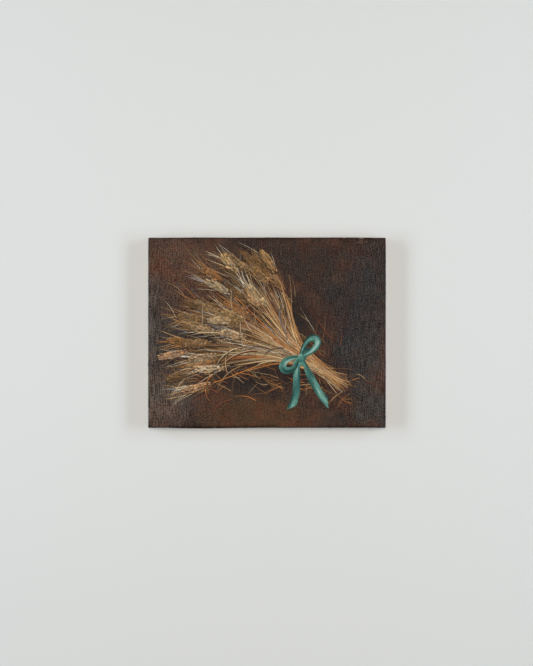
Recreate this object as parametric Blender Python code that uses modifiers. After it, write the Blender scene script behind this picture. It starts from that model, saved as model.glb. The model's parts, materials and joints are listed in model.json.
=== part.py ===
"""Small painting on stretched canvas: a canvas wrapped and stapled round four mitred stretcher
bars, with wooden keys in the corners and a sawtooth hanger nailed to the top bar.

Metres. X runs to the right as one looks at the painting, Z is up, and the painted face looks
towards -Y. The origin is the middle of the hanger's rear face, which lies against the wall.
"""

import math

import bmesh
import bpy
from mathutils import Matrix

# Driving dimensions
CANVAS_WIDTH = 0.2540
CANVAS_HEIGHT = 0.2032
CANVAS_DEPTH = 0.0190  # from the painted face to the cloth turned over the back
CLOTH = 0.0005
FLANGE = 0.0220  # cloth turned over the back, measured in from the outer edge
EDGE_RADIUS = 0.0012  # of the cloth where it turns over a bar's edge
GAP = 0.0003  # between pieces that touch

BAR_WIDTH = 0.0380
BEAD_WIDTH = 0.0045  # the raised outer lip that alone carries the cloth
BEAD_DROP = 0.0018
INNER_DROP = 0.0032  # how far the bar's inner front edge lies behind the lip
BEAD_RADIUS = 0.0008
BACK_RADIUS = 0.0006
ARRIS_RADIUS = 0.0007  # of the bar's two inner edges
MITRE_BLOCK = 2.2 * BAR_WIDTH  # side of the cube that cuts a mitre
OVERCUT = 0.0010  # how far a cutter runs past the face that it enters

KEY_THICKNESS = 0.0030
KEY_OUT = 0.0140  # length that stands out of the slot
KEY_IN = 0.0115  # length driven into the slot
KEY_HEAD = 0.0090  # width at the outer end
KEY_TIP = 0.0042
SLOT_WIDTH = 0.0078
SLOT_REACH = 0.0125
SLOT_THICKNESS = KEY_THICKNESS + 2 * GAP
SLOT_MOUTH = 0.0020  # how far a slot's cutter runs out of the bar's inner edge
KEY_LEVELS = (0.0055, 0.0110)  # keys' mid planes, forward of the bars' back: level bars, upright bars

HANGER_WIDTH = 0.0450
HANGER_HEIGHT = 0.0120
HANGER_PLATE = 0.0008
HANGER_STANDOFF = 0.0034  # from the wood to the wall
HANGER_BELOW_TOP = 0.0310
HANGER_RAISED = 0.0120  # half the width of the raised middle
HANGER_FOOT = 0.0155  # where each end tab starts
HANGER_CORNER = 0.0022  # radius of the tabs' corners
HANGER_CUT = 4 * HANGER_PLATE  # length of what cuts the notches and the pins' holes
NOTCH_COUNT = 8
NOTCH_PITCH = 0.0028
NOTCH_DEPTH = 0.00125

PIN_X = 0.0190
PIN_RADIUS = 0.0007
PIN_HEAD_RADIUS = 0.0018
PIN_HEAD = 0.0007
PIN_LENGTH = 0.0100
PIN_POINT = 0.0016
PIN_HOLE_RADIUS = 0.0011
PIN_BORE = PIN_LENGTH + 2 * OVERCUT

STAPLE_CROWN = 0.0100
STAPLE_WIRE = 0.0012  # width of the flat wire
STAPLE_THICKNESS = 0.0005
STAPLE_LEG = 0.0080
STAPLE_INSET = 0.0120  # from the canvas's outer edge
LEG_HOLE = (STAPLE_THICKNESS + 2 * GAP, STAPLE_LEG + OVERCUT, STAPLE_WIRE + 2 * GAP)

# Levels along Y, from the wall forwards
WOOD_BACK = -HANGER_STANDOFF
CLOTH_BACK = WOOD_BACK + GAP + CLOTH
CLOTH_FRONT = CLOTH_BACK - CANVAS_DEPTH
WOOD_FRONT = CLOTH_FRONT + CLOTH + GAP

CENTRE_Z = HANGER_BELOW_TOP - CANVAS_HEIGHT / 2
WOOD_WIDTH = CANVAS_WIDTH - 2 * (CLOTH + GAP)
WOOD_HEIGHT = CANVAS_HEIGHT - 2 * (CLOTH + GAP)

# name: (length, reach from the centre to the outer edge, turn about Y, key level, staples, pitch)
BARS = {
    "top": (WOOD_WIDTH, WOOD_HEIGHT / 2, 0, KEY_LEVELS[0], 6, 0.040),
    "right": (WOOD_HEIGHT, WOOD_WIDTH / 2, math.pi / 2, KEY_LEVELS[1], 5, 0.038),
    "bottom": (WOOD_WIDTH, WOOD_HEIGHT / 2, math.pi, KEY_LEVELS[0], 6, 0.040),
    "left": (WOOD_HEIGHT, WOOD_WIDTH / 2, -math.pi / 2, KEY_LEVELS[1], 5, 0.038),
}

COLOURS = {
    "painted_canvas": ((0.080, 0.052, 0.036), 0.55, 0.0),
    "pine": ((0.560, 0.380, 0.210), 0.65, 0.0),
    "beech_key": ((0.480, 0.300, 0.160), 0.60, 0.0),
    "zinc_steel": ((0.620, 0.610, 0.580), 0.38, 1.0),
    "staple_steel": ((0.560, 0.550, 0.530), 0.34, 1.0),
}


def clear_scene():
    for obj in list(bpy.data.objects):
        bpy.data.objects.remove(obj, do_unlink=True)


def new_collection(name):
    collection = bpy.data.collections.new(name)
    bpy.context.scene.collection.children.link(collection)
    return collection


def new_material(name):
    colour, roughness, metallic = COLOURS[name]
    material = bpy.data.materials.new(name)
    material.use_nodes = True
    shader = material.node_tree.nodes["Principled BSDF"]
    shader.inputs["Base Color"].default_value = (*colour, 1)
    shader.inputs["Roughness"].default_value = roughness
    shader.inputs["Metallic"].default_value = metallic
    material.diffuse_color = (*colour, 1)
    return material


def add_part(name, mesh, finish, matrix=None):
    """An object of the painting, with a material of its own finish."""
    obj = bpy.data.objects.new(name, mesh)
    obj.matrix_world = matrix or Matrix()
    if not mesh.materials:
        mesh.materials.append(new_material(finish))
    painting.objects.link(obj)
    return obj


def add_cutter(name, mesh, matrix=None):
    obj = bpy.data.objects.new(name, mesh)
    obj.matrix_world = matrix or Matrix()
    obj.hide_render = True
    obj.display_type = "WIRE"
    cutters.objects.link(obj)
    return obj


def subtract(obj, cutter):
    cut = obj.modifiers.new(cutter.name, "BOOLEAN")
    cut.operation = "DIFFERENCE"
    cut.solver = "EXACT"
    cut.object = cutter


def round_smooth(mesh, angle=math.radians(35)):
    mesh.shade_smooth()
    mesh.set_sharp_from_angle(angle=angle)


def arc(centre, radius, start, end, steps=4):
    """Points of an arc from one angle to another, in degrees."""
    turns = [math.radians(start + (end - start) * i / steps) for i in range(steps + 1)]
    return [(centre[0] + radius * math.cos(t), centre[1] + radius * math.sin(t)) for t in turns]


def outline_mesh(name, points, thickness, matrix):
    """A closed flat outline in XY, thickened both ways along Z and then turned by matrix."""
    curve = bpy.data.curves.new(name, "CURVE")
    curve.dimensions = "2D"
    curve.fill_mode = "BOTH"
    curve.extrude = thickness / 2
    spline = curve.splines.new("POLY")
    spline.points.add(len(points) - 1)
    for point, (x, y) in zip(spline.points, points):
        point.co = (x, y, 0, 1)
    spline.use_cyclic_u = True
    guide = bpy.data.objects.new(name + "_outline", curve)
    bpy.context.scene.collection.objects.link(guide)
    graph = bpy.context.evaluated_depsgraph_get()
    mesh = bpy.data.meshes.new_from_object(guide.evaluated_get(graph))
    mesh.name = name
    bpy.data.objects.remove(guide, do_unlink=True)
    bm = bmesh.new()
    bm.from_mesh(mesh)
    bmesh.ops.remove_doubles(bm, verts=bm.verts, dist=1e-6)
    bmesh.ops.transform(bm, matrix=matrix, verts=bm.verts)
    bmesh.ops.recalc_face_normals(bm, faces=bm.faces)
    bm.to_mesh(mesh)
    bm.free()
    return mesh


def shapes_mesh(name, boxes=(), rods=()):
    """Boxes, each (centre, size, turn about Y), and rods along Y, each (centre, radius, length)."""
    bm = bmesh.new()
    for centre, size, turn in boxes:
        place = Matrix.Translation(centre) @ Matrix.Rotation(turn, 4, "Y")
        bmesh.ops.create_cube(bm, size=1, matrix=place @ Matrix.Diagonal((*size, 1)))
    for centre, radius, length in rods:
        place = Matrix.Translation(centre) @ Matrix.Rotation(math.pi / 2, 4, "X")
        bmesh.ops.create_cone(
            bm, cap_ends=True, segments=16, radius1=radius, radius2=radius, depth=length, matrix=place
        )
    mesh = bpy.data.meshes.new(name)
    bm.to_mesh(mesh)
    bm.free()
    return mesh


def bar_matrix(turn):
    """A bar is modelled along X with its outer edge up, then turned about the canvas's centre."""
    return Matrix.Translation((0, 0, CENTRE_Z)) @ Matrix.Rotation(turn, 4, "Y")


def staple_places(bar):
    """Centres of a bar's staples, along the bar."""
    _, _, _, _, count, pitch = BARS[bar]
    return [(i - (count - 1) / 2) * pitch for i in range(count)]


def leg_boxes(bar):
    """Clearance holes for both legs of each staple on a bar, in the bar's own directions."""
    _, reach, _, _, _, _ = BARS[bar]
    z = reach + GAP + CLOTH - STAPLE_INSET
    leg = (STAPLE_CROWN - STAPLE_THICKNESS) / 2
    y = CLOTH_BACK + 2 * GAP - LEG_HOLE[1] / 2
    return [((x + side * leg, y, z), LEG_HOLE, 0) for x in staple_places(bar) for side in (-1, 1)]


def bar_outline(reach):
    """Section across a bar: a raised lip at the outer edge, then a face that slopes away inwards."""
    inner = reach - BAR_WIDTH + ARRIS_RADIUS
    points = arc((WOOD_FRONT + BEAD_RADIUS, reach - BEAD_RADIUS), BEAD_RADIUS, 180, 90)
    points += arc((WOOD_BACK - BACK_RADIUS, reach - BACK_RADIUS), BACK_RADIUS, 90, 0, 3)
    points += arc((WOOD_BACK - ARRIS_RADIUS, inner), ARRIS_RADIUS, 0, -90, 3)
    points += arc((WOOD_FRONT + INNER_DROP + ARRIS_RADIUS, inner), ARRIS_RADIUS, -90, -180, 3)
    points += [
        (WOOD_FRONT + BEAD_DROP, reach - BEAD_WIDTH - BEAD_DROP),
        (WOOD_FRONT, reach - BEAD_WIDTH),
    ]
    return points


def stretcher_bar(bar):
    length, reach, turn, key_level, _, _ = BARS[bar]
    # The outline's X is depth and its Y points outwards, so its thickness becomes the bar's length.
    along = Matrix(((0, 0, 1, 0), (1, 0, 0, 0), (0, 1, 0, 0), (0, 0, 0, 1)))
    mesh = outline_mesh("stretcher_bar_" + bar, bar_outline(reach), length, along)
    obj = add_part("stretcher_bar_" + bar, mesh, "pine", bar_matrix(turn))

    mitres = []
    pockets = leg_boxes(bar)
    mid_depth = (WOOD_FRONT + WOOD_BACK) / 2
    away = (MITRE_BLOCK / 2 - GAP / 2) / math.sqrt(2)
    slot = (SLOT_WIDTH, SLOT_THICKNESS, SLOT_REACH + SLOT_MOUTH)
    slot_z = reach - BAR_WIDTH + (SLOT_REACH - SLOT_MOUTH) / 2
    for side in (-1, 1):
        mitre_centre = (side * (length / 2 - BAR_WIDTH / 2 + away), mid_depth, reach - BAR_WIDTH / 2 - away)
        mitres.append((mitre_centre, (MITRE_BLOCK,) * 3, math.pi / 4))
        slot_x = side * (length / 2 - BAR_WIDTH - SLOT_WIDTH / 2)
        pockets.append(((slot_x, WOOD_BACK - key_level, slot_z), slot, 0))
    bores = []
    if bar == "top":
        bore_y = WOOD_BACK + OVERCUT - PIN_BORE / 2
        bores = [((side * PIN_X, bore_y, -CENTRE_Z), PIN_HOLE_RADIUS, PIN_BORE) for side in (-1, 1)]
    for kind, boxes, rods in (("mitre", mitres, ()), ("pocket", pockets, bores)):
        name = f"{kind}_cutter_{bar}"
        subtract(obj, add_cutter(name, shapes_mesh(name, boxes, rods), bar_matrix(turn)))


def canvas():
    """Cloth over the front and the four edges, turned over the back by the width of a flange."""
    bm = bmesh.new()
    size = (CANVAS_WIDTH, CANVAS_DEPTH, CANVAS_HEIGHT)
    bmesh.ops.create_cube(bm, size=1, matrix=Matrix.Diagonal((*size, 1)))
    back = max(bm.faces, key=lambda face: face.calc_center_median().y)
    bmesh.ops.inset_region(bm, faces=[back], thickness=FLANGE)
    bmesh.ops.delete(bm, geom=[back], context="FACES_ONLY")
    mesh = bpy.data.meshes.new("canvas")
    bm.to_mesh(mesh)
    bm.free()
    middle = Matrix.Translation((0, (CLOTH_FRONT + CLOTH_BACK) / 2, CENTRE_Z))
    obj = add_part("canvas", mesh, "painted_canvas", middle)
    edges = obj.modifiers.new("rounded edges", "BEVEL")
    edges.width = EDGE_RADIUS
    edges.segments = 3
    edges.limit_method = "ANGLE"
    wall = obj.modifiers.new("cloth", "SOLIDIFY")
    wall.thickness = CLOTH
    wall.offset = -1
    wall.use_even_offset = True

    holes = []
    for bar, (_, _, turn, _, _, _) in BARS.items():
        for centre, hole, _ in leg_boxes(bar):
            placed = bar_matrix(turn) @ Matrix.Translation(centre)
            holes.append((placed.translation, hole, turn))
    subtract(obj, add_cutter("staple_hole_cutter", shapes_mesh("staple_hole_cutter", holes)))
    round_smooth(mesh)


def corner_keys():
    """Two wedges in each corner: one driven along the upright bar, one along the level bar."""
    inner_x = WOOD_WIDTH / 2 - BAR_WIDTH
    inner_z = WOOD_HEIGHT / 2 - BAR_WIDTH
    # Along the wedge towards its tip, and away from the bar that its straight edge lies against.
    wedge = [(-KEY_OUT, 0), (KEY_IN, 0), (KEY_IN, KEY_TIP), (-KEY_OUT, KEY_HEAD)]
    upright = Matrix.Rotation(math.pi / 2, 4, "X")
    for row, sz in (("top", 1), ("bottom", -1)):
        for column, sx in (("left", -1), ("right", 1)):
            along_upright = [(-sx * (v + GAP), sz * u) for u, v in wedge]
            along_level = [(sx * u, -sz * (v + GAP)) for u, v in wedge]
            for kind, points, level in (
                ("upright", along_upright, KEY_LEVELS[0]),
                ("level", along_level, KEY_LEVELS[1]),
            ):
                name = f"corner_key_{row}_{column}_{kind}"
                mesh = outline_mesh(name, points, KEY_THICKNESS, upright)
                corner = (sx * inner_x, WOOD_BACK - level, CENTRE_Z + sz * inner_z)
                add_part(name, mesh, "beech_key", Matrix.Translation(corner))


def round_tabs(mesh):
    """Rounds the hanger's four outer corners, as one looks at the wall."""
    bm = bmesh.new()
    bm.from_mesh(mesh)
    corners = []
    for edge in bm.edges:
        a, b = (vert.co for vert in edge.verts)
        if min(abs(a.x), abs(b.x)) > HANGER_WIDTH / 2 - GAP and abs(a.z - b.z) < GAP:
            corners.append(edge)
    bmesh.ops.bevel(bm, geom=corners, offset=HANGER_CORNER, segments=4, profile=0.5, affect="EDGES")
    bm.to_mesh(mesh)
    bm.free()


def sawtooth_hanger():
    """A strip with its ends on the wood and its middle raised to the wall, notched below."""
    tab = WOOD_BACK + GAP  # front of the end tabs
    raised = -HANGER_PLATE  # front of the middle
    slope = math.atan2(raised - tab, HANGER_FOOT - HANGER_RAISED)
    shift = HANGER_PLATE * math.tan(slope / 2)  # keeps the sloping stretch as thick as the rest
    half = HANGER_WIDTH / 2
    rear = [(half, tab + HANGER_PLATE), (HANGER_FOOT, tab + HANGER_PLATE), (HANGER_RAISED, 0)]
    front = [(HANGER_RAISED - shift, raised), (HANGER_FOOT - shift, tab), (half, tab)]
    points = rear + [(-x, y) for x, y in reversed(rear)]
    points += [(-x, y) for x, y in reversed(front)] + front
    mesh = outline_mesh("sawtooth_hanger", points, HANGER_HEIGHT, Matrix())
    round_tabs(mesh)
    obj = add_part("sawtooth_hanger", mesh, "zinc_steel")

    # A cube standing on its edge cuts each notch.
    side = NOTCH_DEPTH * math.sqrt(2)
    notches = []
    for i in range(NOTCH_COUNT):
        x = (i - (NOTCH_COUNT - 1) / 2) * NOTCH_PITCH
        notches.append(((x, raised / 2, -HANGER_HEIGHT / 2), (side, HANGER_CUT, side), math.pi / 4))
    holes = [((side * PIN_X, tab, 0), PIN_HOLE_RADIUS, HANGER_CUT) for side in (-1, 1)]
    subtract(obj, add_cutter("hanger_cutter", shapes_mesh("hanger_cutter", notches, holes)))


def hanger_pins():
    """Two nails through the hanger's tabs: a turned profile of head, shank and point."""
    steps = 16
    profile = [
        (0, PIN_HEAD),
        (0.6 * PIN_HEAD_RADIUS, PIN_HEAD),
        (PIN_HEAD_RADIUS, 0.4 * PIN_HEAD),
        (PIN_HEAD_RADIUS, 0),
        (PIN_RADIUS, 0),
        (PIN_RADIUS, PIN_POINT - PIN_LENGTH),
        (0, -PIN_LENGTH),
    ]
    mesh = bpy.data.meshes.new("hanger_pin")
    mesh.from_pydata([(r, 0, z) for r, z in profile], [(i, i + 1) for i in range(len(profile) - 1)], [])
    under_head = WOOD_BACK + GAP + HANGER_PLATE + GAP
    for side, sx in (("left", -1), ("right", 1)):
        place = Matrix.Translation((sx * PIN_X, under_head, 0)) @ Matrix.Rotation(-math.pi / 2, 4, "X")
        obj = add_part("hanger_pin_" + side, mesh, "zinc_steel", place)
        turned = obj.modifiers.new("turned", "SCREW")
        turned.steps = steps
        turned.render_steps = steps
        turned.use_merge_vertices = True
        turned.merge_threshold = 1e-6


def staples():
    """Flat wire bent to a crown and two legs, with chisel points, driven through the cloth."""
    half = STAPLE_CROWN / 2
    inside = half - STAPLE_THICKNESS
    crown = STAPLE_THICKNESS
    bend = STAPLE_THICKNESS
    leg = STAPLE_LEG
    right = arc((half - bend, crown - bend), bend, 90, 0, 3)
    right += [(half, -leg), (inside, STAPLE_THICKNESS - leg), (inside, 0)]
    points = right + [(-x, y) for x, y in reversed(right)]
    # The outline stands in X and depth, and the wire's width runs across it.
    mesh = outline_mesh("staple", points, STAPLE_WIRE, Matrix())
    y = CLOTH_BACK + GAP
    for bar, (_, reach, turn, _, _, _) in BARS.items():
        z = reach + GAP + CLOTH - STAPLE_INSET
        for number, x in enumerate(staple_places(bar), 1):
            place = bar_matrix(turn) @ Matrix.Translation((x, y, z))
            add_part(f"staple_{bar}_{number}", mesh, "staple_steel", place)


clear_scene()
painting = new_collection("Stretched canvas painting")
cutters = new_collection("Cutters")
canvas()
for bar_name in BARS:
    stretcher_bar(bar_name)
corner_keys()
sawtooth_hanger()
hanger_pins()
staples()
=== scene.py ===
import json
import math
import bpy
import numpy as np
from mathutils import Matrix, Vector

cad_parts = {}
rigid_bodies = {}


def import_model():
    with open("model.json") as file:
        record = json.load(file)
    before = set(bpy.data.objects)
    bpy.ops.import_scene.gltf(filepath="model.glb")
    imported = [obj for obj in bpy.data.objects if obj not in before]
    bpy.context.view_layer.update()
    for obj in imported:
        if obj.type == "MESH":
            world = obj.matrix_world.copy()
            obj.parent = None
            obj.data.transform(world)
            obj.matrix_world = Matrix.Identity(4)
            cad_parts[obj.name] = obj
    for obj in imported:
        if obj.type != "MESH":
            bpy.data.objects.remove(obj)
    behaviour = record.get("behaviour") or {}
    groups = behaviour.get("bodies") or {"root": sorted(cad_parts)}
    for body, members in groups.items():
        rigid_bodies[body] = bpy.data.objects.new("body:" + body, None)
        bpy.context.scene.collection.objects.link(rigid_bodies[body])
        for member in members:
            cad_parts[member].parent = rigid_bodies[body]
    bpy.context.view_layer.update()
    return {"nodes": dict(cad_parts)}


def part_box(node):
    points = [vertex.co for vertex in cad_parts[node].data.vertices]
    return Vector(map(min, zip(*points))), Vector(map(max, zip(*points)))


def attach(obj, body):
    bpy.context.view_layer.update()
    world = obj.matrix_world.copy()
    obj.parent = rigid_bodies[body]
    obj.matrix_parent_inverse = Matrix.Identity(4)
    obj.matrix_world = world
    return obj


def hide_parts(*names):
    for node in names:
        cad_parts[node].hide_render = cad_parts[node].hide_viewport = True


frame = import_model()

mm = 0.001
low, high = (np.array(corner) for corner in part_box("canvas"))
middle = (low + high) / 2  # centre of the stretched canvas
halfWide, halfHigh = (high[0] - low[0]) / 2, (high[2] - low[2]) / 2
frontY, backY = low[1], high[1]
depth = backY - frontY


def srgb(red, green, blue):
    # A screen colour, 0 to 255, as linear light.
    c = np.array((red, green, blue)) / 255
    return tuple(np.where(c <= 0.04045, c / 12.92, ((c + 0.055) / 1.055) ** 2.4).tolist())


def eased(start, end, x):
    # 0 before start, 1 after end, and 3t^2 - 2t^3 between.
    t = np.clip((x - start) / (end - start), 0, 1)
    return t * t * (3 - 2 * t)


def heading(degrees):
    # A unit vector in the painting's plane, from its angle.
    turn = np.radians(degrees)
    return np.stack([np.cos(turn), np.sin(turn)], -1)


def bent(start, angle, length, bend):
    # Curves from a start, heading off at an angle, that turn evenly by bend degrees over their length.
    a = start + heading(angle) * length[:, None] / 3
    b = a + heading(angle + bend / 2) * length[:, None] / 3
    return np.stack([start, a, b, b + heading(angle + bend) * length[:, None] / 3], 1)


def along(path, t):
    # Points of cubic Bezier curves, (n, 4, 2), at k values t, or at a row of k for each curve: (n, k, 2).
    t = np.broadcast_to(t, (len(path), np.shape(t)[-1]))[..., None]
    a, b, c, d = np.moveaxis(path[:, :, None], 1, 0)
    return a * (1 - t) ** 3 + b * 3 * t * (1 - t) ** 2 + c * 3 * t * t * (1 - t) + d * t ** 3


def through(points):
    # The cubic Bezier curves that pass through four points each, at a third and two thirds of the way.
    a, b, c, d = np.moveaxis(points, 1, 0)
    first, last = (-5 * a + 18 * b - 9 * c + 2 * d) / 6, (2 * a - 9 * b + 18 * c - 5 * d) / 6
    return np.stack([a, first, last, d], 1)


def leftOf(line):
    # Unit vectors to the left of each line of points, (n, k, 2).
    slope = np.gradient(line, axis=1)
    slope /= np.maximum(np.linalg.norm(slope, axis=2, keepdims=True), 1e-9)
    return np.stack([-slope[..., 1], slope[..., 0]], -1)


def gridFaces(rows, columns, flip=False):
    # Quads of a grid of vertices that is stored row by row.
    i, j = np.meshgrid(np.arange(rows - 1), np.arange(columns - 1), indexing="ij")
    a = (i * columns + j).ravel()
    quads = np.stack([a, a + 1, a + columns + 1, a + columns], 1)
    return quads[:, ::-1] if flip else quads


def addObject(name, data):
    made = bpy.data.objects.new(name, data)
    bpy.context.scene.collection.objects.link(made)
    return made


def addPiece(name, verts, faces, cornerUvs, pointValues, *finishes):
    # A smooth piece, its points measured from the painting's middle across and up, with UV pairs for each
    # face corner and a number or a colour for each vertex.
    mesh = bpy.data.meshes.new(name)
    mesh.from_pydata((verts + [middle[0], 0, middle[2]]).tolist(), [], faces.tolist())
    for key, pairs in cornerUvs.items():
        mesh.uv_layers.new(name=key).uv.foreach_set("vector", pairs.astype(np.float32).ravel())
    for key, rows in pointValues.items():
        rows = rows.astype(np.float32)
        if rows.shape[1] == 1:
            mesh.attributes.new(key, "FLOAT", "POINT").data.foreach_set("value", rows.ravel())
        else:
            rows = np.column_stack([rows, np.ones(len(rows), np.float32)])
            mesh.attributes.new(key, "FLOAT_COLOR", "POINT").data.foreach_set("color", rows.ravel())
    mesh.polygons.foreach_set("use_smooth", np.full(len(mesh.polygons), True))
    mesh.update()
    for finish in finishes:
        mesh.materials.append(finish)
    piece = addObject(name, mesh)
    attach(piece, "root")
    return piece


def bakeCells(count, t, u, margin=0.04):
    # Where the points of each small grid lie in its own cell of the bake map, inside a margin.
    cell = np.stack(np.broadcast_arrays(margin + (1 - 2 * margin) * t[:, None], 0.05 + 0.90 * u), -1)
    return np.broadcast_to(cell, (count, *cell.shape))


def gridPiece(name, groups, finish, cellAspect):
    # Joins groups of small grids into one piece. A group's arrays are (count, rows, columns, numbers).
    # Pairs are UV maps, single numbers and colours are attributes, and each grid has its own bake cell,
    # which is cellAspect times as wide as it is high.
    total = sum(len(group["points"]) for group in groups)
    cellsWide = math.ceil(math.sqrt(total / cellAspect))
    cellsHigh = math.ceil(total / cellsWide)
    joined = {key: [] for key in ("faces", *groups[0])}
    gridsBefore = vertsBefore = 0
    for group in groups:
        count, rows, columns = group["points"].shape[:3]
        order = np.arange(count) + gridsBefore
        corner = np.stack([order % cellsWide, order // cellsWide], -1)[:, None, None]
        group["OFBake"] = (group["OFBake"] + corner) / [cellsWide, cellsHigh]
        for key, numbers in group.items():
            joined[key].append(numbers.reshape(count * rows * columns, -1))
        first = vertsBefore + np.arange(count)[:, None, None] * rows * columns
        joined["faces"].append((gridFaces(rows, columns, flip=True) + first).reshape(-1, 4))
        gridsBefore += count
        vertsBefore += count * rows * columns
    joined = {key: np.concatenate(parts) for key, parts in joined.items()}
    faces, points = joined.pop("faces"), joined.pop("points")
    uvs = {key: rows[faces].reshape(-1, 2) for key, rows in joined.items() if rows.shape[1] == 2}
    values = {key: rows for key, rows in joined.items() if key not in uvs}
    print(name, total, "grids,", 2 * len(faces), "triangles")
    return addPiece(name, points, faces, uvs, values, finish)


class Field:
    # What a node gives out. Each + - * and abs() puts a Math node behind it.

    def __init__(self, nodes, socket):
        self.nodes, self.socket = nodes, socket

    def __add__(self, other):
        return self.nodes.math("ADD", self, other)

    def __sub__(self, other):
        return self.nodes.math("SUBTRACT", self, other)

    def __mul__(self, other):
        return self.nodes.math("MULTIPLY", self, other)

    def __abs__(self):
        return self.nodes.math("ABSOLUTE", self)


class Nodes:
    # The nodes of a new material, or of a new world, in short calls.

    def __init__(self, name, kind="materials"):
        self.owner = getattr(bpy.data, kind).new(name)
        self.owner.use_nodes = True
        self.tree = self.owner.node_tree
        self.shader = self.tree.nodes["Principled BSDF" if kind == "materials" else "Background"]

    def set(self, socket, value):
        if isinstance(value, Field):
            self.tree.links.new(value.socket, socket)
        elif socket.type == "RGBA" and len(value) == 3:
            socket.default_value = (*value, 1)
        else:
            socket.default_value = value

    def add(self, kind, inputs=(), output=0, **settings):
        # One node: its inputs by name or number, the output to go on with, and its settings.
        node = self.tree.nodes.new("ShaderNode" + kind)
        for key, value in settings.items():
            setattr(node, key, value)
        for key, value in dict(inputs).items():
            self.set(node.inputs[key], value)
        return Field(self, node.outputs[output])

    def surface(self, **inputs):
        for key, value in inputs.items():
            self.set(self.shader.inputs[key.replace("_", " ")], value)
        return self.owner

    def math(self, operation, *values):
        return self.add("Math", enumerate(values), operation=operation)

    def vector(self, operation, *values):
        output = "Value" if operation == "LENGTH" else "Vector"
        return self.add("VectorMath", enumerate(values), output, operation=operation)

    def mapped(self, place, **mapping):
        inputs = {key.title(): value for key, value in mapping.items()}
        return self.add("Mapping", {"Vector": place, **inputs})

    def objectPlace(self, **mapping):
        return self.mapped(self.add("TexCoord", output="Object"), **mapping)

    def uvPlace(self, layer):
        return self.add("UVMap", uv_map=layer)

    def parts(self, place):
        node = self.add("SeparateXYZ", {0: place}).socket.node
        return [Field(self, socket) for socket in node.outputs]

    def noise(self, place, scale, detail=2.0, roughness=0.5, output="Fac", **mapping):
        # The scale is one number, or three that stretch the place first.
        if isinstance(scale, tuple):
            place, scale = self.mapped(place, scale=scale, **mapping), 1.0
        inputs = {"Vector": place, "Scale": scale, "Detail": detail, "Roughness": roughness}
        return self.add("TexNoise", inputs, output)

    def wandering(self, place, amount, *noise):
        # place + amount * (a noise's three numbers - 0.5)
        away = self.vector("SUBTRACT", self.noise(place, *noise, output="Color"), (0.5, 0.5, 0.5))
        return self.vector("MULTIPLY_ADD", away, (amount, amount, amount), place)

    def ramp(self, value, start, end, low=0.0, high=1.0):
        inputs = {"Value": value, "From Min": start, "From Max": end, "To Min": low, "To Max": high}
        return self.add("MapRange", inputs, interpolation_type="SMOOTHSTEP")

    def mix(self, amount, a, b, blend="MIX"):
        return self.add("Mix", {0: amount, 6: a, 7: b}, 2, data_type="RGBA", blend_type=blend)

    def shade(self, colour, light):
        return self.mix(1.0, colour, light, "MULTIPLY")

    def bump(self, height, distance, strength):
        return self.add("Bump", {"Height": height, "Distance": distance, "Strength": strength})


# Stage: a camera square on to the painting, the wall it hangs on, a floor and soft light.
view = {
    "frameHigh": 0.7126,  # what the picture takes in from top to bottom, at the painted face
    "lens": 85.0,
    "sensor": 36.0,
    "aside": -0.0005,  # how far the camera is off the painting's middle
    "above": -0.00022,
}
stage = {
    "wallHalf": 0.62,
    "wallAbove": 0.62,
    "wallBehind": 0.0006,
    "wallColour": srgb(234, 234, 231),
    "floorBelow": 0.90,
    "floorRadius": 40.0,
    "floorColour": srgb(110, 110, 108),
    "floorPale": srgb(224, 225, 223),
    "floorGlow": 0.88,
    "world": srgb(236, 238, 240),
    "worldStrength": 0.05,  # the little light that comes from all round
    "backdropStrength": 0.80,  # how pale the room looks
}
cool, warm, plain = (0.65, 0.82, 1.0), (1.0, 0.86, 0.70), (1.0, 1.0, 1.0)
# name: direction (degrees across and up), distance, size, watts, colour, seen in gloss
lamps = {
    "leftSoftbox": ((-50, 3.5), 1.6, (0.46, 1.30), 11.10, cool, True),
    "rightSoftbox": ((50, 3.5), 1.6, (0.46, 1.30), 10.90, cool, True),
    "frontSoftbox": ((0, 3), 2.4, (0.4, 0.8), 30.2, warm, False),
    "backSoftbox": ((200, 30), 1.8, (1.4, 1.0), 18.0, plain, True),
    "rearFill": ((138, -8), 2.0, (1.8, 1.6), 9.0, plain, True),
}

cameraData = bpy.data.cameras.new("camera")
cameraData.lens = view["lens"]
cameraData.sensor_width = view["sensor"]
camera = addObject("camera", cameraData)
cameraAway = view["frameHigh"] * view["lens"] / view["sensor"]
camera.location = (middle[0] + view["aside"], frontY - cameraAway, middle[2] + view["above"])
camera.rotation_euler = (math.pi / 2, 0, 0)
bpy.context.scene.camera = camera
bpy.context.scene.view_settings.view_transform = "Standard"


def wallFinish():
    # Flat emulsion with a faint roller stipple. Its face towards the room is solid and its back is clear.
    n = Nodes("wallPaint")
    stipple = n.bump(n.noise(n.objectPlace(), 700.0), 0.03 * mm, 0.35)
    n.surface(Base_Color=stage["wallColour"], Roughness=0.9, Specular_IOR_Level=0.2, Normal=stipple)
    backfacing = n.add("NewGeometry", output="Backfacing")
    solid, clear = Field(n, n.shader.outputs[0]), n.add("BsdfTransparent")
    end = n.tree.nodes["Material Output"].inputs["Surface"]
    n.set(end, n.add("MixShader", {0: backfacing, 1: solid, 2: clear}))
    return n.owner


def stagePlane(name, corners, finish):
    mesh = bpy.data.meshes.new(name)
    mesh.from_pydata(corners, [], [range(len(corners))])
    mesh.materials.append(finish)
    plane = addObject(name, mesh)
    return plane


side, wallY = stage["wallHalf"], stage["wallBehind"]
floorZ, topZ = middle[2] - stage["floorBelow"], middle[2] + stage["wallAbove"]
wallCorners = [(-side, wallY, floorZ), (side, wallY, floorZ), (side, wallY, topZ), (-side, wallY, topZ)]
wall = stagePlane("wall", wallCorners, wallFinish())
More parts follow.
